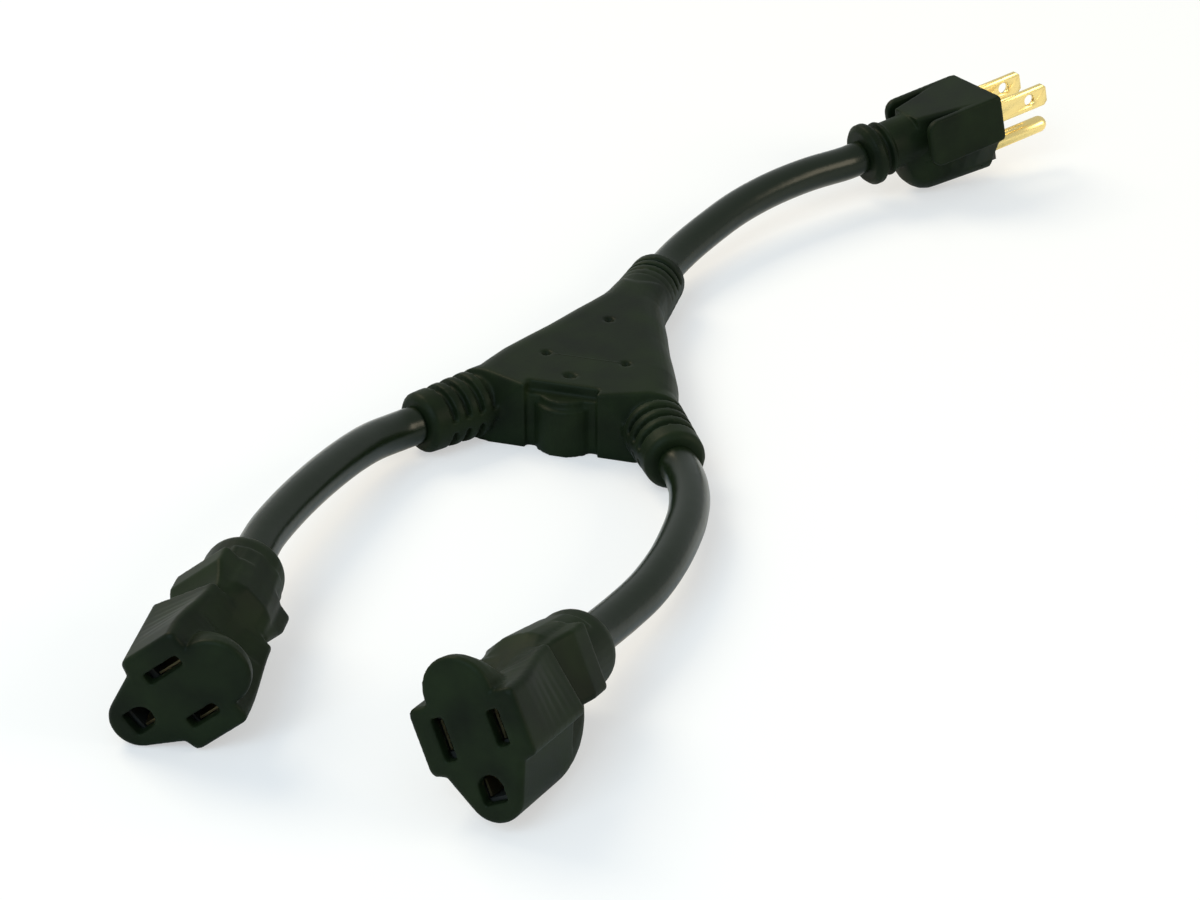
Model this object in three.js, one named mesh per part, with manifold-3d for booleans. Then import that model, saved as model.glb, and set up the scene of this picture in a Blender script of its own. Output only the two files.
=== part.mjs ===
// A short three-wire Y cord: one grounded plug feeds two grounded in-line sockets through a
// flat moulded junction. Millimetres, +Z up. The origin is the middle of the junction's
// underside and +X runs along the junction towards the plug.
import * as THREE from 'three';
import { mergeVertices } from 'three/addons/utils/BufferGeometryUtils.js';
import Module from 'manifold-3d';

const wasm = await Module();
wasm.setup();

// Standard grounded layout, the same on the plug and on both sockets
const bladePitch = 12.7;
const groundOffset = 11.9;

// Plug blades and pin
const bladeWidth = 6.35;
const bladeThickness = 1.5;
const bladeReach = 17.8;
const bladeHoleDiameter = 3.2;
const bladeHoleReach = 11.9;
const bladeTipChamfer = 1.1;
const pinDiameter = 4.75;
const pinReach = 20.6;

// Jacketed cord and the wires inside it
const cordDiameter = 9.4;
const cordSides = 12;
const wireBoreDiameter = 6.4;
const barrelDiameter = 3.4;
const barrelLength = 5;
const barrelBoreDiameter = 2.2;

// Clearances and walls
const seatGap = 0.3;
const roundSegments = 32;

// Socket moulding, measured from its face back to the cord
const socket = {
  wingHalfWidth: 12.4,
  wingTop: 7.4,
  wingBottom: 7.3,
  wingCorner: 1.6,
  wingLength: 23.2,
  faceTop: 16.2,
  lobeRadius: 7.8,
  saddleTop: 6.6,
  saddleStart: 1.2,
  saddleEnd: 16,
  shoulderTop: 8.8,
  shoulderCorner: 1.3,
  shoulderInset: 2.6,
  groundBottom: 19.2,
  groundRadius: 6.3,
  groundShoulder: 9.2,
  groundStraight: 20,
  groundLength: 35,
  faceEdge: 0.7,
  faceWall: 3,
  gripHalfWidth: 8.4,
  gripTop: 8.2,
  ridgeTop: 10.8,
  ridgeStart: 28,
  ridgeHalfWidth: 5.6,
  flareStart: 24.6,
  flangeStart: 31.8,
  flangeEnd: 38,
  flangeHalfWidth: 10.7,
  flangeTop: 8.2,
  flangeBottom: 6.9,
  flangeCorner: 0.9,
  spineEnd: 44,
  collarDiameter: 18.2,
  collarLength: 51.5,
  collarRound: 4.2,
  liveSlot: 7.6,
  neutralSlot: 9.2,
  slotWidth: 2.7,
  groundHoleWidth: 5.5,
  groundHoleHeight: 6,
  carrierLength: 17,
  carrierMargin: 3.6,
};

// Spring contacts inside a socket
const contactThickness = 0.5;
const contactMouth = 2;
const contactPinch = 0.9;
const contactWidth = 6.4;
const groundContactWidth = 4.4;
const groundContactMouth = 4.9;
const groundContactPinch = 4;
const contactLength = 10;

// Plug moulding, measured from its face back to the cord
const plug = {
  halfWidth: 11.9,
  top: 7.3,
  shelf: 6.2,
  groundBottom: 17.8,
  groundDraft: 1.1,
  groundShoulder: 10.5,
  groundRadius: 6,
  groundStep: 1.6,
  groundStraight: 20,
  groundLength: 29.5,
  bodyLength: 24.5,
  faceEdge: 0.6,
  taperStart: 4,
  waist: 5.8,
  finThickness: 2.3,
  finCorner: 3.4,
  neckDiameter: 14,
  ridgeDiameter: 15.6,
  ridgeLength: 33.8,
  grooveDiameter: 12.6,
  collarDiameter: 17.6,
  collarStart: 36,
  collarLength: 40.4,
  collarChamfer: 1.3,
  pocketMargin: 3.2,
  pocketTop: 5.4,
  pocketBottom: 14.8,
  pocketDepth: 7,
  chamberMargin: 1.9,
  chamberTop: 3.2,
  chamberDepth: 14.4,
};

// Junction moulding
const junction = {
  height: 17,
  edgeHeight: 8,
  edgeWidth: 7,
  inletRoot: 43.5,
  legRootX: -18.5,
  legRootY: 21.3,
  legAngle: 33,
  reliefLength: 20,
  inletReliefLength: 16.6,
  reliefRootDiameter: 16.4,
  reliefTipDiameter: 15,
  reliefChamfer: 1.2,
  ribStart: 1.2,
  ribPitch: 3.9,
  ribGroove: 1.6,
  ribDepth: 1.6,
  ribWeb: 2.6,
  ribCount: 4,
  inletRibPitch: 3.3,
  inletRibGroove: 1.1,
  sleeveBack: 9,
  crotchX: -23.6,
  crotchFlat: 9.2,
  crotchSide: 17.9,
  crotchDip: 8.4,
  notchX: -20.6,
  notchHalfWidth: 9,
  recessDepth: 1.2,
  bossHeight: 14.1,
  bossRadius: 8,
  bossX: -18.2,
  bossShoulder: 12,
  bossLip: 1.3,
  markDiameter: 2.3,
  markDepth: 1.2,
  chamberLength: 25,
  chamberHalfWidth: 9.4,
  chamberFloor: 4.6,
  chamberRoof: 11.4,
};

// Crimped splices lie side by side in the junction
const spliceDiameter = 4.8;
const spliceLength = 15;
const spliceBore = 3.4;

// Points that each cord passes on its way, and where its connector takes it up
const inletPoints = [[76.5, -1.9, 9.4], [90, -5.8, 10.8], [103, -10.4, 12], [115.5, -16.6, 12.9], [127, -23.8, 13.3]];
const inletEnd = [140.9, -35, 14.1];
const leftPoints = [[-48.3, 37.9, 9.9], [-57, 39.4, 11.2], [-67, 40.6, 12.3], [-79, 41.6, 13.3], [-92, 42.3, 13.9],
  [-104, 42.2, 14.3]];
const leftEnd = [-117.4, 40.6, 14.3];
const rightPoints = [[-48.5, -39, 8.9], [-60, -41.9, 9.3], [-72.3, -43.2, 9.7], [-84, -43.5, 10],
  [-96, -42.6, 10.3], [-108, -40.5, 11]];
const rightEnd = [-124.6, -37.6, 13];
const cordStraight = 5;

// How each connector lies: direction its face points, its tilt up and its roll, in degrees
const plugLie = { yaw: -43.8, pitch: 9.6, roll: -3.8 };
const leftSocketLie = { yaw: 187.9, pitch: 0, roll: -52 };
const rightSocketLie = { yaw: 172, pitch: 9, roll: 26 };

// Finishes
const moulding = { color: 0x14190f, roughness: 0.48, metalness: 0 };
const innerPlastic = { color: 0x1d1f1e, roughness: 0.6, metalness: 0 };
const jacket = { color: 0x11160f, roughness: 0.36, metalness: 0 };
const brass = { color: 0xd9b45c, roughness: 0.28, metalness: 1 };
const tinned = { color: 0xb9b4a6, roughness: 0.35, metalness: 1 };

const degrees = Math.PI / 180;

// A closed mesh as a solid that can be joined and cut
function solid(geometry) {
  const bare = new THREE.BufferGeometry();
  bare.setAttribute('position', geometry.getAttribute('position').clone());
  if (geometry.index) bare.setIndex(geometry.index.clone());
  const merged = mergeVertices(bare, 1e-4);
  return new wasm.Manifold(new wasm.Mesh({
    numProp: 3,
    vertProperties: new Float32Array(merged.getAttribute('position').array),
    triVerts: new Uint32Array(merged.index.array),
  }));
}

function named(name, shape, finish) {
  const cut = shape.getMesh();
  const geometry = new THREE.BufferGeometry();
  geometry.setAttribute('position', new THREE.BufferAttribute(new Float32Array(cut.vertProperties), 3));
  geometry.setIndex(new THREE.BufferAttribute(new Uint32Array(cut.triVerts), 1));
  const flat = geometry.toNonIndexed();
  flat.computeVertexNormals();
  const mesh = new THREE.Mesh(flat, new THREE.MeshStandardMaterial(finish));
  mesh.name = name;
  return mesh;
}

function box(lowX, highX, lowY, highY, lowZ, highZ) {
  const geometry = new THREE.BoxGeometry(highX - lowX, highY - lowY, highZ - lowZ);
  geometry.translate((lowX + highX) / 2, (lowY + highY) / 2, (lowZ + highZ) / 2);
  return solid(geometry);
}

// A turned solid about the Z axis from [radius, height] pairs that start and end on the axis
function turned(profile, segments = roundSegments) {
  const points = profile.map(([radius, height]) => new THREE.Vector2(radius, height));
  const geometry = new THREE.LatheGeometry(points, segments);
  geometry.rotateX(Math.PI / 2);
  return solid(geometry);
}

function rod(radius, low, high, segments = roundSegments) {
  return turned([[0, low], [radius, low], [radius, high], [0, high]], segments);
}

// Turn a solid made along +Z so that it starts at a point and runs along a direction
function along(shape, start, direction) {
  const turn = new THREE.Quaternion().setFromUnitVectors(
    new THREE.Vector3(0, 0, 1), new THREE.Vector3(...direction).normalize());
  const matrix = new THREE.Matrix4().compose(new THREE.Vector3(...start), turn, new THREE.Vector3(1, 1, 1));
  return shape.transform(matrix.elements);
}

// A flat outline drawn in X and Y and raised from one height to another
function raised(outline, low, high) {
  const geometry = new THREE.ExtrudeGeometry(outline, { depth: high - low, bevelEnabled: false, curveSegments: 12 });
  geometry.translate(0, 0, low);
  return solid(geometry);
}

function polygon(points) {
  return new THREE.Shape(points.map(([x, y]) => new THREE.Vector2(x, y)));
}

// Skin through a row of outlines, each with the same number of points, closed at both ends
function lofted(rings) {
  const count = rings[0].points.length;
  const positions = rings.flatMap((ring) => ring.points.flatMap((point) => [point.x, point.y, ring.height]));
  const faces = [];
  for (let ring = 0; ring < rings.length - 1; ring += 1) {
    for (let index = 0; index < count; index += 1) {
      const a = ring * count + index;
      const b = ring * count + ((index + 1) % count);
      faces.push(a, a + count, b, b, a + count, b + count);
    }
  }
  const last = (rings.length - 1) * count;
  for (const [a, b, c] of THREE.ShapeUtils.triangulateShape(rings[0].points, [])) faces.push(a, b, c);
  for (const [a, b, c] of THREE.ShapeUtils.triangulateShape(rings.at(-1).points, [])) {
    faces.push(last + c, last + b, last + a);
  }
  const geometry = new THREE.BufferGeometry();
  geometry.setAttribute('position', new THREE.Float32BufferAttribute(positions, 3));
  geometry.setIndex(faces);
  return solid(geometry);
}

function arcPoints(centreX, centreY, radius, from, to, steps) {
  return Array.from({ length: steps + 1 }, (_, step) => {
    const angle = (from + ((to - from) * step) / steps) * degrees;
    return new THREE.Vector2(centreX + radius * Math.cos(angle), centreY + radius * Math.sin(angle));
  });
}

// Both halves of an outline from its right half, listed from the top centre to the bottom centre
function mirrored(half) {
  const left = half.slice(1, -1).reverse().map((point) => new THREE.Vector2(-point.x, point.y));
  return [...half, ...left].reverse();
}

function smooth(t) {
  return t * t * (3 - 2 * t);
}

function mix(a, b, t) {
  return a + (b - a) * THREE.MathUtils.clamp(t, 0, 1);
}

// Socket outline at a distance behind the face: a round top lobe, wings whose shoulders
// round over towards the back, and a tapered ground lobe
function socketOutline(back, inset) {
  const swell = smooth(THREE.MathUtils.clamp((back - 5) / (socket.wingLength - 5), 0, 1));
  const top = crestHeight(back);
  const lobe = socket.lobeRadius - inset;
  const lobeCentre = top - socket.lobeRadius;
  const shelf = mix(socket.wingTop, socket.shoulderTop, swell) - inset;
  const sill = -socket.wingBottom + inset;
  const side = socket.wingHalfWidth - inset;
  const upperSide = side - socket.shoulderInset * swell;
  const shoulder = mix(socket.wingCorner, socket.shoulderCorner, swell);
  const corner = socket.wingCorner;
  const lobeEnd = Math.asin(THREE.MathUtils.clamp((shelf - lobeCentre) / lobe, -0.9, 0.985)) / degrees;
  const groundTop = -groundDepth(back) + socket.groundRadius;
  const half = [
    ...arcPoints(0, lobeCentre, lobe, 90, lobeEnd, 8),
    ...arcPoints(upperSide - shoulder, shelf - shoulder, shoulder, 90, 5, 4),
    ...arcPoints(side - corner, sill + corner, corner, 0, -90, 4),
    new THREE.Vector2(socket.groundShoulder - inset, sill - 0.5),
    ...arcPoints(0, groundTop, socket.groundRadius - inset, -24, -90, 8),
  ];
  return mirrored(half);
}

// Height along the middle of the back: a rim at the face, a saddle for the finger, a ramp up
// to the ridge, and a spine that falls slowly to the collar
function crestHeight(back) {
  if (back > socket.ridgeStart) {
    return mix(socket.ridgeTop, socket.collarDiameter / 2, (back - socket.ridgeStart) / (socket.spineEnd - socket.ridgeStart));
  }
  if (back > socket.saddleEnd) {
    const climb = (back - socket.saddleEnd) / (socket.ridgeStart - socket.saddleEnd);
    return mix(socket.saddleTop, socket.ridgeTop, climb ** 1.4);
  }
  const drop = THREE.MathUtils.clamp((back - socket.saddleStart) / (socket.saddleEnd - socket.saddleStart), 0, 1);
  return mix(socket.faceTop, socket.saddleTop, smooth(drop));
}

// Depth of the ground lobe: straight, then rounded up towards the cord
function groundDepth(back) {
  const t = THREE.MathUtils.clamp(
    (back - socket.groundStraight) / (socket.groundLength - socket.groundStraight), 0, 1);
  const low = socket.wingBottom + 1.4;
  return low + (socket.groundBottom - low) * Math.sqrt(1 - t * t);
}

// Outline of the grip and flange: square-sided with a raised spine along the top
function gripOutline(back, halfWidth, sideTop, bottom) {
  const corner = socket.flangeCorner;
  const crest = crestHeight(back);
  const ridge = socket.ridgeHalfWidth;
  const shoulder = Math.min(sideTop, crest - 0.7);
  const half = [
    new THREE.Vector2(0, crest),
    new THREE.Vector2(ridge * 0.55, crest - 0.12),
    new THREE.Vector2(ridge, mix(crest, shoulder, 0.42)),
    new THREE.Vector2(ridge + 1.2, mix(crest, shoulder, 0.85)),
    ...arcPoints(halfWidth - corner, shoulder - corner, corner, 80, 0, 3),
    ...arcPoints(halfWidth - corner, -bottom + corner, corner, 0, -90, 3),
    new THREE.Vector2(0, -bottom - 0.2),
  ];
  return mirrored(half);
}

function flareWidth(back) {
  const t = THREE.MathUtils.clamp((back - socket.flareStart) / (socket.flangeStart - socket.flareStart), 0, 1);
  return mix(socket.gripHalfWidth, socket.flangeHalfWidth, t ** 1.5);
}

function socketShell() {
  const wing = [0, socket.faceEdge, 3, 5.5, 8, 10.5, 13, socket.saddleEnd, 18.5, 21, socket.wingLength];
  const front = lofted(wing.map((back, index) => ({
    height: -back,
    points: socketOutline(back, index === 0 ? socket.faceEdge : 0),
  })));
  // The ground lobe runs on under the flange and rounds up into the collar
  const tailSteps = 8;
  const tail = lofted(Array.from({ length: tailSteps + 1 }, (_, step) => {
    const t = Math.sin((step / tailSteps) * 90 * degrees);
    const back = mix(socket.groundStraight, socket.groundLength, t);
    const bottom = groundDepth(back);
    const half = [
      new THREE.Vector2(0, 2),
      new THREE.Vector2(socket.groundRadius - 0.6, 2),
      new THREE.Vector2(socket.groundRadius - 0.3, 0),
      ...arcPoints(0, -bottom + socket.groundRadius, socket.groundRadius - 0.05, -8, -90, 6),
    ];
    return { height: -back, points: mirrored(half) };
  }));
  const stations = [socket.wingLength - 2, socket.flareStart, 26.5, socket.ridgeStart, 29.4, 30.6, socket.flangeStart,
    socket.flangeEnd - 0.8];
  const grip = lofted([
    ...stations.map((back) => ({
      height: -back,
      points: gripOutline(back, flareWidth(back), mix(socket.gripTop, socket.flangeTop, (back - socket.flareStart) / 6), socket.flangeBottom),
    })),
    { height: -socket.flangeEnd,
      points: gripOutline(socket.flangeEnd, socket.flangeHalfWidth - 0.8, socket.flangeTop - 0.8, socket.flangeBottom - 0.8) },
  ]);
  const spine = lofted([socket.flangeEnd - 1, socket.spineEnd].map((back) => ({
    height: -back,
    points: gripOutline(back, socket.gripHalfWidth - 0.6, socket.gripTop - 2, 2),
  })));
  const radius = socket.collarDiameter / 2;
  const round = socket.collarRound;
  const rim = arcPoints(radius - round, -socket.collarLength + round, round, 0, -90, 5).map((p) => [p.x, p.y]);
  const collar = turned([[0, -socket.collarLength], ...rim.reverse(), [radius, -socket.flangeEnd + 2],
    [0, -socket.flangeEnd + 2]]);
  return front.add(tail).add(grip).add(spine).add(collar);
}

// Space for the contact carrier: wide behind the blades, tapered down round the ground contact
function carrierOutline(inset) {
  const wide = bladePitch / 2 + socket.carrierMargin - inset;
  const high = 5.2 - inset;
  const neck = 7.4 - inset;
  const foot = 4.7 - inset;
  const low = groundOffset + 4 - inset;
  return polygon([[-wide, high], [-wide, -high], [-neck, -high], [-foot, -low],
    [foot, -low], [neck, -high], [wide, -high], [wide, high]]);
}

function groundHole(width, height) {
  const outline = new THREE.Shape();
  const half = width / 2;
  outline.moveTo(-half, -groundOffset - height / 2);
  outline.lineTo(half, -groundOffset - height / 2);
  outline.lineTo(half, -groundOffset + height / 2 - half);
  outline.absarc(0, -groundOffset + height / 2 - half, half, 0, Math.PI, false);
  outline.closePath();
  return outline;
}

const carrierFront = socket.faceWall + seatGap;
const carrierBack = carrierFront + socket.carrierLength;

function socketBody() {
  const half = socket.slotWidth / 2;
  const mid = bladePitch / 2;
  const through = [1, -carrierFront - 1];
  return socketShell()
    .subtract(raised(carrierOutline(0), -carrierBack - seatGap, -socket.faceWall))
    .subtract(box(-6.2, 6.2, -5, 4.4, -carrierBack - 2.6, -carrierBack))
    .subtract(rod(wireBoreDiameter / 2, -socket.collarLength - 1, -carrierBack - 1, 20))
    .subtract(box(-mid - half, -mid + half, -socket.neutralSlot / 2, socket.neutralSlot / 2, through[1], through[0]))
    .subtract(box(mid - half, mid + half, -socket.liveSlot / 2, socket.liveSlot / 2, through[1], through[0]))
    .subtract(raised(groundHole(socket.groundHoleWidth, socket.groundHoleHeight), through[1], through[0]));
}

// A pocket for one contact, with a hole behind for its crimp barrel
function pocket(x, y, halfWidth, halfHeight) {
  const depth = contactLength + 2 * seatGap;
  return box(x - halfWidth, x + halfWidth, y - halfHeight, y + halfHeight, -carrierFront - depth, 1)
    .add(along(rod(barrelDiameter / 2 + seatGap, 0, socket.carrierLength + 2, 20), [x, y, -carrierBack - 1], [0, 0, 1]));
}

function contactCarrier() {
  const reach = contactMouth / 2 + contactThickness + 2 * seatGap;
  const groundReach = groundContactMouth / 2 + contactThickness + seatGap;
  const height = contactWidth / 2 + seatGap;
  return raised(carrierOutline(seatGap), -carrierBack, -carrierFront)
    .subtract(pocket(-bladePitch / 2, 0, reach, height))
    .subtract(pocket(bladePitch / 2, 0, reach, height))
    .subtract(pocket(0, -groundOffset, groundReach, groundContactWidth / 2 + seatGap));
}

// A folded spring contact: two leaves that pinch the blade, joined at the back to a crimp barrel
function springContact(x, y, mouth, pinch, width) {
  const wall = contactThickness;
  const front = -carrierFront - seatGap;
  const back = -carrierFront - seatGap - contactLength;
  const leaf = [[mouth / 2, front], [pinch / 2, front - 3], [pinch / 2 + 0.25, front - 6], [mouth / 2, back + 1.6]];
  const inner = [...leaf, [mouth / 2, back + wall]];
  const outer = [...leaf.map(([u, w]) => [u + wall, w]), [mouth / 2 + wall, back]];
  const flipped = (points) => points.map(([u, w]) => [-u, w]);
  const clip = polygon([...inner, ...flipped(inner).reverse(), ...flipped(outer), ...outer.slice().reverse()]);
  const geometry = new THREE.ExtrudeGeometry(clip, { depth: width, bevelEnabled: false });
  geometry.translate(0, 0, -width / 2);
  geometry.rotateX(Math.PI / 2);
  const barrelEnd = back - barrelLength;
  const barrel = rod(barrelDiameter / 2, barrelEnd, back + 0.2, 20)
    .subtract(rod(barrelBoreDiameter / 2, barrelEnd - 1, back - 0.8, 16));
  return solid(geometry).add(barrel).translate([x, y, 0]);
}

function buildSocket(side) {
  const group = new THREE.Group();
  group.add(named(`${side}_socket_body`, socketBody(), moulding));
  group.add(named(`${side}_contact_carrier`, contactCarrier(), innerPlastic));
  const mid = bladePitch / 2;
  group.add(named(`${side}_neutral_contact`, springContact(-mid, 0, contactMouth, contactPinch, contactWidth), brass));
  group.add(named(`${side}_live_contact`, springContact(mid, 0, contactMouth, contactPinch, contactWidth), brass));
  group.add(named(`${side}_ground_contact`,
    springContact(0, -groundOffset, groundContactMouth, groundContactPinch, groundContactWidth), brass));
  return group;
}

// Plug outline under the blades: a full-width upper body and a tapered ground side
function plugOutline(halfWidth, inset, bottom) {
  const side = halfWidth - inset;
  const shoulder = Math.min(plug.groundShoulder, halfWidth - 0.3) - inset;
  const half = [
    new THREE.Vector2(0, plug.top - inset),
    ...arcPoints(side - 1, plug.top - inset - 1, 1, 90, 0, 3),
    ...arcPoints(side - 1, -plug.shelf + inset + 1, 1, 0, -90, 3),
    new THREE.Vector2(shoulder, -plug.shelf + inset - 0.4),
    ...arcPoints(0, -bottom + plug.groundRadius, plug.groundRadius - inset, -20, -90, 8),
  ];
  return mirrored(half);
}

function plugBottom(back) {
  const t = THREE.MathUtils.clamp(
    (back - plug.groundStraight) / (plug.groundLength - plug.groundStraight), 0, 1);
  const low = plug.neckDiameter / 2 + 0.4;
  const deep = plug.groundBottom - plug.groundDraft * Math.min(back / plug.groundStraight, 1);
  return low + (deep - low) * Math.sqrt(1 - t * t);
}

function plugShell() {
  const stations = [0, plug.faceEdge, plug.taperStart, 8, 12, 16, plug.groundStraight, 22, plug.bodyLength];
  const body = lofted(stations.map((back, index) => {
    const taper = (back - plug.taperStart) / (plug.bodyLength - plug.taperStart);
    const width = mix(plug.halfWidth, plug.waist, taper);
    return { height: -back, points: plugOutline(width, index === 0 ? plug.faceEdge : 0, plugBottom(back)) };
  }));
  const tailSteps = 6;
  const tail = lofted(Array.from({ length: tailSteps + 1 }, (_, step) => {
    const back = plug.groundStraight + ((plug.groundLength - plug.groundStraight) * step) / tailSteps;
    const half = [
      new THREE.Vector2(0, 1),
      new THREE.Vector2(5.6, 1),
      ...arcPoints(0, -plugBottom(back) + plug.groundRadius, plug.groundRadius - 0.1, -20, -90, 8),
    ];
    return { height: -back, points: mirrored(half) };
  }));
  // The step below the blades: the ground side starts a little behind the face
  const step = box(-plug.halfWidth - 1, plug.halfWidth + 1, -plug.groundBottom - 1, -plug.shelf - 0.5, -plug.groundStep, 1);
  const profile = [
    [0, -plug.collarLength], [plug.collarDiameter / 2 - plug.collarChamfer, -plug.collarLength],
    [plug.collarDiameter / 2, -plug.collarLength + plug.collarChamfer],
    [plug.collarDiameter / 2, -plug.collarStart - plug.collarChamfer],
    [plug.collarDiameter / 2 - plug.collarChamfer, -plug.collarStart],
    [plug.grooveDiameter / 2, -plug.collarStart], [plug.grooveDiameter / 2, -plug.ridgeLength - 0.9],
    [plug.ridgeDiameter / 2, -plug.ridgeLength - 0.4], [plug.ridgeDiameter / 2, -plug.ridgeLength + 0.4],
    [plug.neckDiameter / 2, -plug.ridgeLength + 1.2], [plug.neckDiameter / 2, -plug.bodyLength + 3],
    [0, -plug.bodyLength + 3],
  ];
  return body.subtract(step).add(tail).add(turned(profile)).add(gripFins());
}

// Thin side fins for the fingers stand off the tapered body and round over at the back
function gripFins() {
  const outline = new THREE.Shape();
  const r = plug.finCorner;
  const back = -plug.bodyLength;
  outline.moveTo(-1, -plug.shelf + 0.6);
  outline.lineTo(-1, plug.top - 0.6);
  outline.lineTo(-1.6, plug.top);
  outline.lineTo(back + r, plug.top);
  outline.absarc(back + r, plug.top - r, r, Math.PI / 2, Math.PI, false);
  outline.lineTo(back, -plug.shelf + r);
  outline.absarc(back + r, -plug.shelf + r, r, Math.PI, Math.PI * 1.5, false);
  outline.lineTo(-1.6, -plug.shelf);
  outline.closePath();
  const bevel = 0.5;
  const geometry = new THREE.ExtrudeGeometry(outline, {
    depth: plug.finThickness - 2 * bevel, bevelEnabled: true, bevelThickness: bevel, bevelSize: bevel,
    bevelOffset: -bevel, bevelSegments: 2, curveSegments: 8,
  });
  geometry.translate(0, 0, bevel);
  geometry.rotateY(-Math.PI / 2);
  const drawn = solid(geometry);
  const turn = new THREE.Matrix4().makeBasis(
    new THREE.Vector3(-1, 0, 0), new THREE.Vector3(0, 1, 0), new THREE.Vector3(0, 0, 1));
  const right = drawn.translate([plug.halfWidth, 0, 0]);
  return right.add(right.transform(turn.elements));
}

const pocketHalfWidth = bladePitch / 2 + plug.pocketMargin;

function plugBody() {
  const gap = 1;
  const wide = pocketHalfWidth;
  const holder = box(-wide, wide, -plug.shelf, plug.pocketTop, -plug.pocketDepth, gap)
    .add(box(-5, 5, -plug.pocketBottom, -plug.shelf + 1, -plug.pocketDepth, gap));
  const chamberHalfWidth = bladePitch / 2 + plug.chamberMargin;
  const chamber = box(-chamberHalfWidth, chamberHalfWidth, -plug.chamberTop, plug.chamberTop,
    -plug.chamberDepth, -plug.pocketDepth + gap)
    .add(box(-3.4, 3.4, -groundOffset - 2.6, 0, -plug.chamberDepth, -plug.pocketDepth + gap));
  return plugShell()
    .subtract(holder)
    .subtract(chamber)
    .subtract(rod(wireBoreDiameter / 2, -plug.collarLength - 1, -plug.chamberDepth + 1, 24));
}

// The hard insert that spaces the blades, seated flush in the plug's face
function bladeHolder() {
  const inset = seatGap;
  const low = -plug.pocketDepth + seatGap;
  const upper = box(-pocketHalfWidth + inset, pocketHalfWidth - inset, -plug.shelf + inset,
    plug.pocketTop - inset, low, 0);
  const lower = box(-5 + inset, 5 - inset, -plug.pocketBottom + inset, -plug.shelf + 1, low, 0);
  const slotX = bladeThickness / 2 + seatGap;
  const slotY = bladeWidth / 2 + seatGap;
  const slot = box(-slotX, slotX, -slotY, slotY, low - 1, 1);
  return upper.add(lower)
    .subtract(slot.translate([-bladePitch / 2, 0, 0]))
    .subtract(slot.translate([bladePitch / 2, 0, 0]))
    .subtract(along(rod(pinDiameter / 2 + seatGap, 0, plug.pocketDepth + 2, 24), [0, -groundOffset, low - 1], [0, 0, 1]));
}

const tailBack = plug.pocketDepth + seatGap;

function crimpBarrel() {
  const low = -tailBack - barrelLength;
  return rod(barrelDiameter / 2, low, -tailBack + 0.2, 20)
    .subtract(rod(barrelBoreDiameter / 2, low - 1, -tailBack - 0.8, 16));
}

function blade() {
  const half = bladeWidth / 2;
  const cut = bladeTipChamfer;
  const outline = polygon([[-half, -tailBack], [half, -tailBack], [half, bladeReach - cut], [half - cut, bladeReach],
    [-half + cut, bladeReach], [-half, bladeReach - cut]]);
  const hole = new THREE.Path();
  hole.absarc(0, bladeHoleReach, bladeHoleDiameter / 2, 0, 2 * Math.PI, true);
  outline.holes.push(hole);
  const bevel = 0.2;
  const geometry = new THREE.ExtrudeGeometry(outline, {
    depth: bladeThickness - 2 * bevel, bevelEnabled: true, bevelThickness: bevel, bevelSize: bevel,
    bevelOffset: -bevel, bevelSegments: 1, curveSegments: 12,
  });
  geometry.translate(0, 0, -bladeThickness / 2 + bevel);
  geometry.rotateX(Math.PI / 2);
  geometry.rotateZ(Math.PI / 2);
  return solid(geometry).add(crimpBarrel());
}

function groundPin() {
  const radius = pinDiameter / 2;
  const dome = arcPoints(0, pinReach - radius, radius, 0, 84, 6).map((point) => [point.x, point.y]);
  return turned([[0, -tailBack], [radius, -tailBack], ...dome, [0, pinReach]], 24).add(crimpBarrel());
}

function buildPlug() {
  const group = new THREE.Group();
  group.add(named('plug_body', plugBody(), moulding));
  group.add(named('blade_holder', bladeHolder(), innerPlastic));
  group.add(named('live_blade', blade().translate([-bladePitch / 2, 0, 0]), brass));
  group.add(named('neutral_blade', blade().translate([bladePitch / 2, 0, 0]), brass));
  group.add(named('ground_pin', groundPin().translate([0, -groundOffset, 0]), brass));
  return group;
}

// The sleeve behind a strain relief, which sinks into the plate
function reliefRoot() {
  return rod(junction.reliefRootDiameter / 2, -junction.sleeveBack, junction.ribStart + 0.2);
}

// Strain relief along +Z: a tapered sleeve whose slots run over the top and the bottom and
// leave a web down each side
function strainRelief({ length, pitch, groove }) {
  const root = junction.reliefRootDiameter / 2;
  const tip = junction.reliefTipDiameter / 2;
  const chamfer = junction.reliefChamfer;
  const start = junction.ribStart;
  const sleeve = turned([[0, start], [root, start], [tip, length - chamfer], [tip - chamfer, length], [0, length]]);
  const web = box(-root - 3, root + 3, -junction.ribWeb / 2, junction.ribWeb / 2, -2, length);
  const slots = Array.from({ length: junction.ribCount }, (_, rib) => {
    const low = start + rib * pitch;
    const radius = mix(root, tip, low / length) - junction.ribDepth;
    return rod(root + 1, low, low + groove).subtract(rod(radius, low - 1, low + groove + 1));
  });
  return sleeve.subtract(slots.reduce((shape, slot) => shape.add(slot)).subtract(web));
}

const legDirection = [-Math.cos(junction.legAngle * degrees), Math.sin(junction.legAngle * degrees)];
const axisHeight = junction.height / 2;

// The three ways out of the junction: where each relief starts, where it points and its ribs
const legRelief = { length: junction.reliefLength, pitch: junction.ribPitch, groove: junction.ribGroove };
const inletRelief = {
  length: junction.inletReliefLength, pitch: junction.inletRibPitch, groove: junction.inletRibGroove,
};
const ways = [
  { start: [junction.inletRoot, 0, axisHeight], direction: [1, 0, 0], relief: inletRelief },
  { start: [junction.legRootX, junction.legRootY, axisHeight], direction: [legDirection[0], legDirection[1], 0],
    relief: legRelief },
  { start: [junction.legRootX, -junction.legRootY, axisHeight], direction: [legDirection[0], -legDirection[1], 0],
    relief: legRelief },
];

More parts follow.
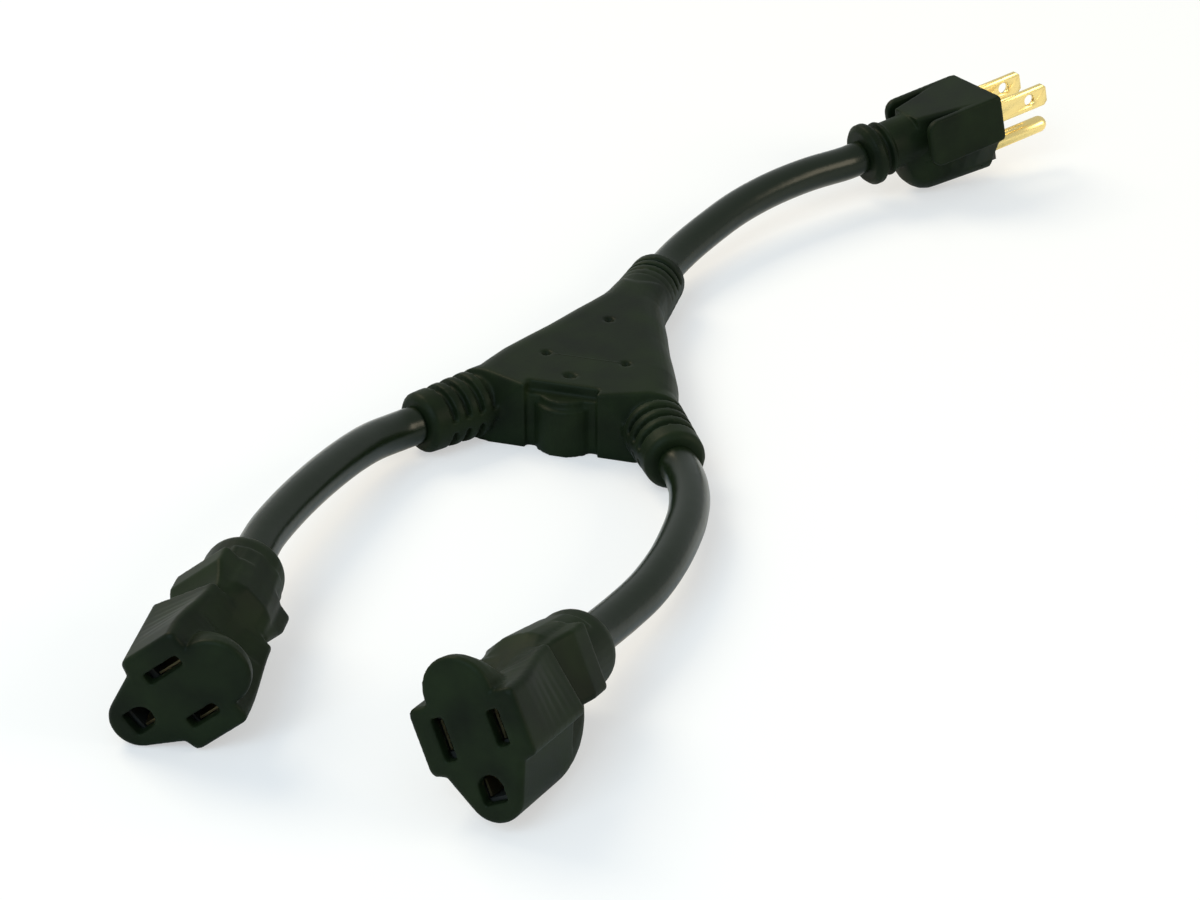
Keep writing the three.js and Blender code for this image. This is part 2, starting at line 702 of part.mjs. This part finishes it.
function way(shape, { start, direction }) {
  const z = new THREE.Vector3(...direction);
  const y = new THREE.Vector3(0, 0, 1);
  const x = new THREE.Vector3().crossVectors(y, z);
  const matrix = new THREE.Matrix4().makeBasis(x, y, z).setPosition(...start);
  return shape.transform(matrix.elements);
}

// Flat three-cornered plate with fully rounded outer edges
function junctionPlate() {
  const side = new THREE.SplineCurve([
    new THREE.Vector2(junction.inletRoot - 5, 1.3), new THREE.Vector2(32, 2.4), new THREE.Vector2(20.5, 6.8),
    new THREE.Vector2(10, 10.6), new THREE.Vector2(-5, 16.8), new THREE.Vector2(junction.legRootX + 1, 20),
  ]).getPoints(10);
  const shut = [new THREE.Vector2(junction.crotchX - 1, 18.6), new THREE.Vector2(junction.crotchX - 1, 12)];
  const half = [...side, ...shut];
  const outline = new THREE.Shape([...half, ...half.slice().reverse().map((p) => new THREE.Vector2(p.x, -p.y))]);
  const geometry = new THREE.ExtrudeGeometry(outline, {
    depth: junction.height - 2 * junction.edgeHeight, bevelEnabled: true, bevelThickness: junction.edgeHeight,
    bevelSize: junction.edgeWidth, bevelSegments: 7,
  });
  geometry.translate(0, 0, junction.edgeHeight);
  return solid(geometry);
}

// Sloped cut that lets the plate fall away beside a leg at the crotch
function crotchFall(side) {
  const { crotchX, crotchFlat, crotchSide, crotchDip, legRootX, legRootY } = junction;
  const above = 0.5;
  const top = junction.height + above;
  const slope = (junction.height - crotchDip) / (crotchSide - crotchFlat);
  // The fold starts at the crotch and runs up to the top of the leg's root
  const fold = new THREE.Vector2(legRootX - crotchX, legRootY - crotchFlat);
  const foldStart = crotchFlat - above / slope;
  const foldX = (t) => crotchX + fold.x * t;
  const foldY = (t) => foldStart + fold.y * t;
  const clear = [crotchX - 4, legRootY + 9];
  const fall = slope * (clear[1] - foldY((clear[0] - crotchX) / fold.x));
  const corners = [[foldX(-0.6), foldY(-0.6), top], [...clear, top], [...clear, top - fall], [foldX(1.4), foldY(1.4), top]];
  const geometry = new THREE.BufferGeometry();
  geometry.setAttribute('position', new THREE.Float32BufferAttribute(corners.flatMap(([x, y, z]) => [x, y * side, z]), 3));
  geometry.setIndex(side > 0 ? [0, 1, 2, 0, 3, 1, 1, 3, 2, 0, 2, 3] : [0, 2, 1, 0, 1, 3, 1, 2, 3, 0, 3, 2]);
  return solid(geometry);
}

function junctionBody() {
  const { crotchX, notchX, notchHalfWidth, height } = junction;
  const past = 5;
  const legSpan = junction.legRootY + junction.reliefLength;
  const crotch = box(crotchX - junction.reliefLength, crotchX, -legSpan, legSpan, -past, height + past);
  const notch = box(crotchX - past, notchX, -notchHalfWidth, notchHalfWidth, junction.bossHeight, height + past);
  const recess = box(crotchX - past, crotchX + junction.recessDepth, -notchHalfWidth, notchHalfWidth, -past, height + past);
  const boss = turned([[0, 0], [junction.bossRadius, 0], [junction.bossRadius, junction.bossShoulder],
    [junction.bossRadius - junction.bossLip, junction.bossShoulder + 0.3],
    [junction.bossRadius - junction.bossLip, junction.bossHeight], [0, junction.bossHeight]])
    .translate([junction.bossX, 0, 0]);
  const bossEdge = box(notchX, 0, -legSpan, legSpan, -past, height + past);
  const blank = ways.reduce((shape, exit) => shape.add(way(reliefRoot(), exit)), junctionPlate())
    .subtract(crotch).subtract(crotchFall(1)).subtract(crotchFall(-1));
  const shell = ways.reduce((shape, exit) => shape.add(way(strainRelief(exit.relief), exit)), blank)
    .subtract(notch)
    .subtract(recess)
    .add(boss.subtract(bossEdge));
  // Marks left by the pins that held the splices in the mould
  const pinMarks = [[16.2, 0, 1], [-5.8, 9.2, 1], [-5.8, -11, 1], [-15.8, 0, 1.5]].map(([x, y, stretch]) => {
    const radius = junction.markDiameter / 2;
    const outline = new THREE.Shape().absellipse(x, y, radius, radius * stretch, 0, 2 * Math.PI);
    return raised(outline, height - junction.markDepth, height + 1);
  });
  const marked = pinMarks.reduce((shape, mark) => shape.subtract(mark), shell);
  const half = junction.chamberLength / 2;
  const chamber = box(-half, half, -junction.chamberHalfWidth, junction.chamberHalfWidth,
    junction.chamberFloor, junction.chamberRoof);
  const bore = rod(wireBoreDiameter / 2, -junction.inletRoot, junction.reliefLength + 1, 20);
  const legBore = rod(wireBoreDiameter / 2, -Math.hypot(junction.legRootX, junction.legRootY) + 4, junction.reliefLength + 1, 20);
  return marked.subtract(chamber)
    .subtract(way(bore, ways[0]))
    .subtract(way(legBore, ways[1]))
    .subtract(way(legBore, ways[2]));
}

function splice() {
  const radius = spliceDiameter / 2;
  const half = spliceLength / 2;
  return along(turned([[spliceBore / 2, 0], [radius - 0.4, 0], [radius, 0.4], [radius, spliceLength - 0.4],
    [radius - 0.4, spliceLength], [spliceBore / 2, spliceLength], [spliceBore / 2, 0]], 16), [-half, 0, 0], [1, 0, 0]);
}

function buildJunction() {
  const group = new THREE.Group();
  group.add(named('junction_body', junctionBody(), moulding));
  const rest = junction.chamberFloor + seatGap + spliceDiameter / 2;
  const pitch = spliceDiameter + seatGap;
  ['live', 'ground', 'neutral'].forEach((wire, index) => {
    group.add(named(`${wire}_splice`, splice().translate([0, (index - 1) * pitch, rest]), tinned));
  });
  return group;
}

// A plain round jacket along a route of points
function cord(name, points) {
  const path = new THREE.CatmullRomCurve3(points);
  const section = new THREE.Shape();
  Array.from({ length: cordSides }, (_, index) => {
    const angle = ((index + 0.5) * 2 * Math.PI) / cordSides;
    const x = (cordDiameter / 2) * Math.cos(angle);
    const y = (cordDiameter / 2) * Math.sin(angle);
    return index === 0 ? section.moveTo(x, y) : section.lineTo(x, y);
  });
  const steps = Math.round(path.getLength() / (cordDiameter * 0.75));
  const geometry = new THREE.ExtrudeGeometry(section, { steps, extrudePath: path, bevelEnabled: false });
  return named(name, solid(geometry), jacket);
}

// Direction that a connector's face points
function facing({ yaw, pitch }) {
  return new THREE.Vector3(Math.cos(pitch * degrees) * Math.cos(yaw * degrees),
    Math.cos(pitch * degrees) * Math.sin(yaw * degrees), Math.sin(pitch * degrees));
}

// A cord runs straight out of its relief, past its points, and straight into its connector
function route(exit, points, end, lie) {
  const out = new THREE.Vector3(...exit.direction);
  const tip = new THREE.Vector3(...exit.start).addScaledVector(out, exit.relief.length + seatGap);
  const last = new THREE.Vector3(...end);
  return [
    tip,
    tip.clone().addScaledVector(out, cordStraight),
    ...points.map((point) => new THREE.Vector3(...point)),
    last.clone().addScaledVector(facing(lie), -cordStraight),
    last,
  ];
}

// Set a connector on its cord: its back end meets the end of the cord
function seated(group, end, lie, length) {
  const face = facing(lie);
  const across = new THREE.Vector3(-Math.sin(lie.yaw * degrees), Math.cos(lie.yaw * degrees), 0);
  const up = new THREE.Vector3().crossVectors(face, across);
  const roll = new THREE.Matrix4().makeRotationZ(lie.roll * degrees);
  group.quaternion.setFromRotationMatrix(new THREE.Matrix4().makeBasis(across, up, face).multiply(roll));
  group.position.set(...end).addScaledVector(face, length + seatGap);
  return group;
}

const inletRoute = route(ways[0], inletPoints, inletEnd, plugLie);
const leftRoute = route(ways[1], leftPoints, leftEnd, leftSocketLie);
const rightRoute = route(ways[2], rightPoints, rightEnd, rightSocketLie);

const splitter = new THREE.Group();
splitter.add(buildJunction());
splitter.add(seated(buildPlug(), inletEnd, plugLie, plug.collarLength));
splitter.add(seated(buildSocket('left'), leftEnd, leftSocketLie, socket.collarLength));
splitter.add(seated(buildSocket('right'), rightEnd, rightSocketLie, socket.collarLength));
splitter.add(cord('inlet_cord', inletRoute));
splitter.add(cord('left_cord', leftRoute));
splitter.add(cord('right_cord', rightRoute));

export default splitter;
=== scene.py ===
"""A short three-wire Y cord on a white table: a grounded plug feeds two in-line sockets.

Metres, in the frame of the solids: the origin is the middle of the junction's underside,
+X runs along the junction towards the plug and +Z is up.
"""
import math

import bpy
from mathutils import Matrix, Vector


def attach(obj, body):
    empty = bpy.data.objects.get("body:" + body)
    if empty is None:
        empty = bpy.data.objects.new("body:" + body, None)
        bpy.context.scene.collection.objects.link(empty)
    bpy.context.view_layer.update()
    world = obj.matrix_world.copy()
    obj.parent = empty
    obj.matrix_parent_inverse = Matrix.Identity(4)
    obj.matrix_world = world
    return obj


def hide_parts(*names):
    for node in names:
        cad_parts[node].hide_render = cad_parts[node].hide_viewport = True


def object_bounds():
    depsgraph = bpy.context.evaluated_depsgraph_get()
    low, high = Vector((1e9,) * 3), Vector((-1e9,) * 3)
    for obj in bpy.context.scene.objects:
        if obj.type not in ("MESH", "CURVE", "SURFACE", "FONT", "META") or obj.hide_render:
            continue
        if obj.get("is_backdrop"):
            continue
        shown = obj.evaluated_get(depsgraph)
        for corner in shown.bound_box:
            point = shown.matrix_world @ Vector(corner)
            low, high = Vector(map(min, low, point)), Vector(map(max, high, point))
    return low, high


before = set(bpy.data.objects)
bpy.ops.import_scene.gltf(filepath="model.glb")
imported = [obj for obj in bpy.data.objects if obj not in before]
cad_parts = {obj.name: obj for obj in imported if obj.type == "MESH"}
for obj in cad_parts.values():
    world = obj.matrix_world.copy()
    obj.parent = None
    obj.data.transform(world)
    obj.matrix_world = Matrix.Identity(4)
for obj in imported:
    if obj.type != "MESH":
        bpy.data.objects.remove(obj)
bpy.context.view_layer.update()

MM = 0.001
WHITE = (1, 1, 1, 1)

# Where each cord runs, from its strain relief to its connector, in millimetres
INLET_ROUTE = [
    (60.4, 0, 8.5), (65.4, 0, 8.5), (76.5, -1.9, 9.4), (90, -5.8, 10.8), (103, -10.4, 12),
    (115.5, -16.6, 12.9), (127, -23.8, 13.3), (137.34, -31.59, 13.27), (140.9, -35, 14.1),
]
LEFT_ROUTE = [
    (-35.52, 32.36, 8.5), (-39.72, 35.08, 8.5), (-48.3, 37.9, 9.9), (-57, 39.4, 11.2), (-67, 40.6, 12.3),
    (-79, 41.6, 13.3), (-92, 42.3, 13.9), (-104, 42.2, 14.3), (-112.45, 41.29, 14.3), (-117.4, 40.6, 14.3),
]
RIGHT_ROUTE = [
    (-35.52, -32.36, 8.5), (-39.72, -35.08, 8.5), (-48.5, -39, 8.9), (-60, -41.9, 9.3), (-72.3, -43.2, 9.7),
    (-84, -43.5, 10), (-96, -42.6, 10.3), (-108, -40.5, 11), (-119.71, -38.29, 12.22), (-124.6, -37.6, 13),
]
CORD_DIAMETER = 9.4


def linear(hex_colour):
    """An sRGB hex colour as linear RGBA."""
    channels = [int(hex_colour[i:i + 2], 16) / 255 for i in (1, 3, 5)]
    return tuple(c / 12.92 if c <= 0.04045 else ((c + 0.055) / 1.055) ** 2.4 for c in channels) + (1.0,)


def add_node(tree, kind, inputs=None, **settings):
    """Add a node, set its settings, and link or set its inputs."""
    made = tree.nodes.new(kind)
    for name, value in settings.items():
        setattr(made, name, value)
    for name, value in (inputs or {}).items():
        if isinstance(value, bpy.types.NodeSocket):
            tree.links.new(value, made.inputs[name])
        else:
            made.inputs[name].default_value = value
    return made


def new_material(name):
    """An empty material with its Principled shader on the output."""
    made = bpy.data.materials.new(name)
    made.use_nodes = True
    tree = made.node_tree
    tree.nodes.clear()
    shader = add_node(tree, "ShaderNodeBsdfPrincipled")
    add_node(tree, "ShaderNodeOutputMaterial", {"Surface": shader.outputs["BSDF"]})
    return made, tree, shader


# Finishes

def moulded_pvc(line=False):
    """Black PVC injected round the wires: satin, faintly mottled, with a fine spark-eroded grain."""
    made, tree, shader = new_material("moulded black PVC with a seam" if line else "moulded black PVC")
    place = add_node(tree, "ShaderNodeTexCoord").outputs["Object"]
    cloud = add_node(tree, "ShaderNodeTexNoise", {"Vector": place, "Scale": 90.0, "Detail": 3.0})
    tint = add_node(tree, "ShaderNodeValToRGB", {"Fac": cloud.outputs["Fac"]})
    tint.color_ramp.elements[0].position = 0.3
    tint.color_ramp.elements[0].color = linear("#0e150c")
    tint.color_ramp.elements[1].position = 0.7
    tint.color_ramp.elements[1].color = linear("#192313")
    grain = add_node(tree, "ShaderNodeTexNoise", {"Vector": place, "Scale": 1500.0, "Detail": 2.0})
    bump = add_node(tree, "ShaderNodeBump", {"Height": grain.outputs["Fac"], "Strength": 0.14, "Distance": 0.0001})
    sheen = add_node(tree, "ShaderNodeMapRange", {"Value": cloud.outputs["Fac"], "To Min": 0.4, "To Max": 0.54})
    normal = bump.outputs["Normal"]
    if line:
        normal = mould_line(tree, place, normal)
    tree.links.new(tint.outputs["Color"], shader.inputs["Base Color"])
    tree.links.new(sheen.outputs["Result"], shader.inputs["Roughness"])
    tree.links.new(normal, shader.inputs["Normal"])
    shader.inputs["IOR"].default_value = 1.53
    shader.inputs["Specular IOR Level"].default_value = 0.06
    return made


def mould_line(tree, place, normal):
    """A fine raised line that a seam in the mould leaves between the pair of pin marks."""
    line_x, middle_y, half_length, half_width = -5.8 * MM, -0.9 * MM, 8.8 * MM, 0.3 * MM
    axes = add_node(tree, "ShaderNodeSeparateXYZ", {"Vector": place})
    away = add_node(tree, "ShaderNodeMath", {0: axes.outputs["X"], 1: line_x}, operation="SUBTRACT")
    apart = add_node(tree, "ShaderNodeMath", {0: away.outputs[0]}, operation="ABSOLUTE")
    across = add_node(tree, "ShaderNodeMapRange",
                      {"Value": apart.outputs[0], "From Min": 0.0, "From Max": half_width, "To Min": 1.0, "To Max": 0.0})
    middle = add_node(tree, "ShaderNodeMath", {0: axes.outputs["Y"], 1: middle_y}, operation="SUBTRACT")
    reach = add_node(tree, "ShaderNodeMath", {0: middle.outputs[0]}, operation="ABSOLUTE")
    between = add_node(tree, "ShaderNodeMath", {0: reach.outputs[0], 1: half_length}, operation="LESS_THAN")
    ridge = add_node(tree, "ShaderNodeMath", {0: across.outputs["Result"], 1: between.outputs[0]}, operation="MULTIPLY")
    bump = add_node(tree, "ShaderNodeBump",
                    {"Height": ridge.outputs[0], "Strength": 0.8, "Distance": 0.0002, "Normal": normal})
    return bump.outputs["Normal"]


def extruded_pvc():
    """Extruded PVC jacket: glossier than the mouldings, with a slightly uneven drawn surface."""
    made, tree, shader = new_material("extruded black PVC jacket")
    place = add_node(tree, "ShaderNodeTexCoord").outputs["Object"]
    waves = add_node(tree, "ShaderNodeTexNoise", {"Vector": place, "Scale": 260.0, "Detail": 2.0})
    swell = add_node(tree, "ShaderNodeTexNoise", {"Vector": place, "Scale": 60.0, "Detail": 1.0})
    sheen = add_node(tree, "ShaderNodeMapRange", {"Value": swell.outputs["Fac"], "To Min": 0.2, "To Max": 0.3})
    bump = add_node(tree, "ShaderNodeBump", {"Height": waves.outputs["Fac"], "Strength": 0.14, "Distance": 0.0004})
    shader.inputs["Base Color"].default_value = linear("#10190c")
    tree.links.new(sheen.outputs["Result"], shader.inputs["Roughness"])
    tree.links.new(bump.outputs["Normal"], shader.inputs["Normal"])
    shader.inputs["IOR"].default_value = 1.53
    shader.inputs["Specular IOR Level"].default_value = 0.2
    return made


def hard_plastic():
    """Hard nylon insert: flat black and duller than the moulding round it."""
    made, tree, shader = new_material("hard black nylon")
    place = add_node(tree, "ShaderNodeTexCoord").outputs["Object"]
    grain = add_node(tree, "ShaderNodeTexNoise", {"Vector": place, "Scale": 700.0, "Detail": 2.0})
    sheen = add_node(tree, "ShaderNodeMapRange", {"Value": grain.outputs["Fac"], "To Min": 0.5, "To Max": 0.65})
    shader.inputs["Base Color"].default_value = linear("#161917")
    tree.links.new(sheen.outputs["Result"], shader.inputs["Roughness"])
    return made


def rolled_brass(name, colour, low, high):
    """Rolled brass strip: bright, with faint drawing marks along the blade."""
    made, tree, shader = new_material(name)
    place = add_node(tree, "ShaderNodeTexCoord").outputs["Object"]
    marks = add_node(tree, "ShaderNodeTexNoise", {"Vector": place, "Scale": 420.0, "Detail": 4.0})
    sheen = add_node(tree, "ShaderNodeMapRange", {"Value": marks.outputs["Fac"], "To Min": low, "To Max": high})
    bump = add_node(tree, "ShaderNodeBump", {"Height": marks.outputs["Fac"], "Strength": 0.025, "Distance": 0.0001})
    shader.inputs["Base Color"].default_value = linear(colour)
    shader.inputs["Metallic"].default_value = 1.0
    tree.links.new(sheen.outputs["Result"], shader.inputs["Roughness"])
    tree.links.new(bump.outputs["Normal"], shader.inputs["Normal"])
    return made


pvc = moulded_pvc()
lined_pvc = moulded_pvc(line=True)
jacket = extruded_pvc()
nylon = hard_plastic()
blade_brass = rolled_brass("bright rolled brass", "#f6dc92", 0.2, 0.34)
# Spring brass for the socket contacts; its colour is also darkened as painted shade for the insides of the slots.
contact_brass = rolled_brass("spring brass with painted slot shade", "#8f8664", 0.3, 0.45)
tinned_copper = rolled_brass("tinned copper", "#c0bcb0", 0.3, 0.45)


# Camera

def place_camera():
    """The photograph's viewing angle, from behind the sockets and above them."""
    data = bpy.data.cameras.new("camera")
    data.sensor_fit = "HORIZONTAL"
    data.sensor_width = 36
    data.lens = 95.25
    data.clip_start = 0.01
    data.clip_end = 20
    camera = bpy.data.objects.new("camera", data)
    bpy.context.scene.collection.objects.link(camera)
    down, heading = 28.4, 17.2
    camera.location = (-0.6609, -0.2072, 0.363)
    camera.rotation_euler = (math.radians(90 - down), 0, math.radians(heading - 90))
    bpy.context.scene.camera = camera


place_camera()


# Cords

def smooth_route(points, steps=6):
    """A centripetal Catmull-Rom curve through points, as the solids' routes run."""
    pts = [Vector(p) for p in points]
    ends = [pts[0] * 2 - pts[1], *pts, pts[-1] * 2 - pts[-2]]
    drawn = []
    for p0, p1, p2, p3 in zip(ends, ends[1:], ends[2:], ends[3:]):
        d0, d1, d2 = (math.sqrt((b - a).length) for a, b in ((p0, p1), (p1, p2), (p2, p3)))
        t1 = ((p1 - p0) / d0 - (p2 - p0) / (d0 + d1) + (p2 - p1) / d1) * d1
        t2 = ((p2 - p1) / d1 - (p3 - p1) / (d1 + d2) + (p3 - p2) / d2) * d1
        for step in range(steps):
            t = step / steps
            drawn.append(p1 + t1 * t + (p2 * 3 - p1 * 3 - t1 * 2 - t2) * t ** 2 + (p1 * 2 - p2 * 2 + t1 + t2) * t ** 3)
    drawn.append(pts[-1])
    return [p * MM for p in drawn]


def lay_cord(name, node, route):
    """A free cord as a round bevelled curve along its route."""
    points = smooth_route(route)
    data = bpy.data.curves.new(name, "CURVE")
    data.dimensions = "3D"
    data.bevel_depth = CORD_DIAMETER / 2 * MM
    data.bevel_resolution = 8
    data.use_fill_caps = True
    spline = data.splines.new("POLY")
    spline.points.add(len(points) - 1)
    for knot, point in zip(spline.points, points):
        knot.co = (*point, 1)
    spline.use_smooth = True
    piece = bpy.data.objects.new(name, data)
    bpy.context.scene.collection.objects.link(piece)
    data.materials.append(jacket)
    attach(piece, "root")
    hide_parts(node)


lay_cord("inlet_lead", "inlet_cord", INLET_ROUTE)
lay_cord("left_lead", "left_cord", LEFT_ROUTE)
lay_cord("right_lead", "right_cord", RIGHT_ROUTE)


# Mouldings

def only(piece):
    """Make a piece the only one selected, and active."""
    bpy.ops.object.select_all(action="DESELECT")
    piece.select_set(True)
    bpy.context.view_layer.objects.active = piece


def merged_copy(name, node, material):
    """A copy of a node's solid, its corners merged, that stands in for the node."""
    source = bpy.data.objects[node]
    piece = bpy.data.objects.new(name, source.data.copy())
    bpy.context.scene.collection.objects.link(piece)
    piece.data.materials.clear()
    piece.data.materials.append(material)
    only(piece)
    bpy.ops.object.mode_set(mode="EDIT")
    bpy.ops.mesh.select_all(action="SELECT")
    bpy.ops.mesh.remove_doubles(threshold=0.002 * MM)
    bpy.ops.object.mode_set(mode="OBJECT")
    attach(piece, "root")
    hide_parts(node)
    return piece


def soften(name, node, voxel, rounds, material):
    """Copy a node's solid and round its edges as a mould leaves them."""
    piece = merged_copy(name, node, material)
    remesh = piece.modifiers.new("remesh", "REMESH")
    remesh.mode = "VOXEL"
    remesh.voxel_size = voxel * MM
    remesh.use_smooth_shade = True
    bpy.ops.object.modifier_apply(modifier=remesh.name)
    smooth = piece.modifiers.new("smooth", "SMOOTH")
    smooth.factor = 0.5
    smooth.iterations = rounds
    bpy.ops.object.modifier_apply(modifier=smooth.name)
    bpy.ops.object.shade_smooth()


soften("junction_moulding", "junction_body", 0.46, 3, lined_pvc)
soften("plug_moulding", "plug_body", 0.34, 3, pvc)
soften("left_socket_moulding", "left_socket_body", 0.36, 5, pvc)
soften("right_socket_moulding", "right_socket_body", 0.36, 5, pvc)


# Blades, inserts and inner metal

def finish(material, *nodes):
    """Give nodes that keep their own solid their finish."""
    for node in nodes:
        for place in bpy.data.objects[node].material_slots:
            place.material = material


def round_over(name, node, material):
    """Copy a node's solid and shade its turned and bevelled faces smooth."""
    merged_copy(name, node, material)
    bpy.ops.object.shade_smooth_by_angle(angle=math.radians(35))


round_over("live_blade_strip", "live_blade", blade_brass)
round_over("neutral_blade_strip", "neutral_blade", blade_brass)
round_over("ground_pin_rod", "ground_pin", blade_brass)
finish(nylon, "blade_holder", "left_contact_carrier", "right_contact_carrier")
finish(contact_brass, "left_live_contact", "left_neutral_contact", "left_ground_contact",
       "right_live_contact", "right_neutral_contact", "right_ground_contact")
finish(tinned_copper, "live_splice", "neutral_splice", "ground_splice")


# White table and light

def white_table():
    """A white sweep: it shows white to the camera and keeps a pale shadow."""
    bpy.ops.object.select_all(action="DESELECT")
    clearance = 0.1 * MM
    bpy.ops.mesh.primitive_plane_add(size=12, location=(0.5, 0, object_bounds()[0][2] - clearance))
    floor = bpy.context.object
    floor.name = "white_table"
    made = bpy.data.materials.new("white paper sweep")
    made.use_nodes = True
    tree = made.node_tree
    tree.nodes.clear()
    path = add_node(tree, "ShaderNodeLightPath")
    seen = add_node(tree, "ShaderNodeMath", {0: path.outputs["Is Camera Ray"], 1: 0.48}, operation="MULTIPLY")
    paper = add_node(tree, "ShaderNodeBsdfDiffuse", {"Color": linear("#f4f5fa")})
    glow = add_node(tree, "ShaderNodeEmission", {"Color": WHITE, "Strength": 1.0})
    both = add_node(tree, "ShaderNodeMixShader", {"Fac": seen.outputs[0], 1: paper.outputs[0], 2: glow.outputs[0]})
    add_node(tree, "ShaderNodeOutputMaterial", {"Surface": both.outputs[0]})
    floor.data.materials.append(made)
    floor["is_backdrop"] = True


def light_world():
    """Soft cool light all round: white to the camera, and partly white to gloss and metal."""
    world = bpy.data.worlds.new("studio")
    bpy.context.scene.world = world
    world.use_nodes = True
    tree = world.node_tree
    tree.nodes.clear()
    path = add_node(tree, "ShaderNodeLightPath")
    gloss = add_node(tree, "ShaderNodeMath", {0: path.outputs["Is Glossy Ray"], 1: 0.35}, operation="MULTIPLY")
    direct = add_node(tree, "ShaderNodeMath", {0: path.outputs["Is Camera Ray"], 1: gloss.outputs[0]},
                      operation="MAXIMUM")
    soft = add_node(tree, "ShaderNodeBackground", {"Color": linear("#e0ecee"), "Strength": 0.55})
    white = add_node(tree, "ShaderNodeBackground", {"Color": WHITE, "Strength": 1.0})
    both = add_node(tree, "ShaderNodeMixShader", {"Fac": direct.outputs[0], 1: soft.outputs[0], 2: white.outputs[0]})
    add_node(tree, "ShaderNodeOutputWorld", {"Surface": both.outputs[0]})


def area_light(name, place, target, size, power, colour):
    """A square soft lamp that faces its target."""
    data = bpy.data.lights.new(name, "AREA")
    data.shape = "SQUARE"
    data.size = size
    data.energy = power
    data.color = linear(colour)[:3]
    lamp = bpy.data.objects.new(name, data)
    bpy.context.scene.collection.objects.link(lamp)
    lamp.location = place
    lamp.rotation_euler = (Vector(target) - Vector(place)).to_track_quat("-Z", "Y").to_euler()


white_table()
light_world()
area_light("key_window", (0.5, 1.1, 1.3), (0, 0, 0), 0.9, 19, "#ffeecb")
area_light("side_window", (0.1, -1.3, 0.6), (-0.1, 0, 0.02), 0.6, 7, "#fff0d2")
area_light("front_fill", (-1.2, 0.2, 1.0), (0, 0, 0), 0.8, 11, "#d6f1ff")

bpy.context.scene.view_settings.view_transform = "Standard"
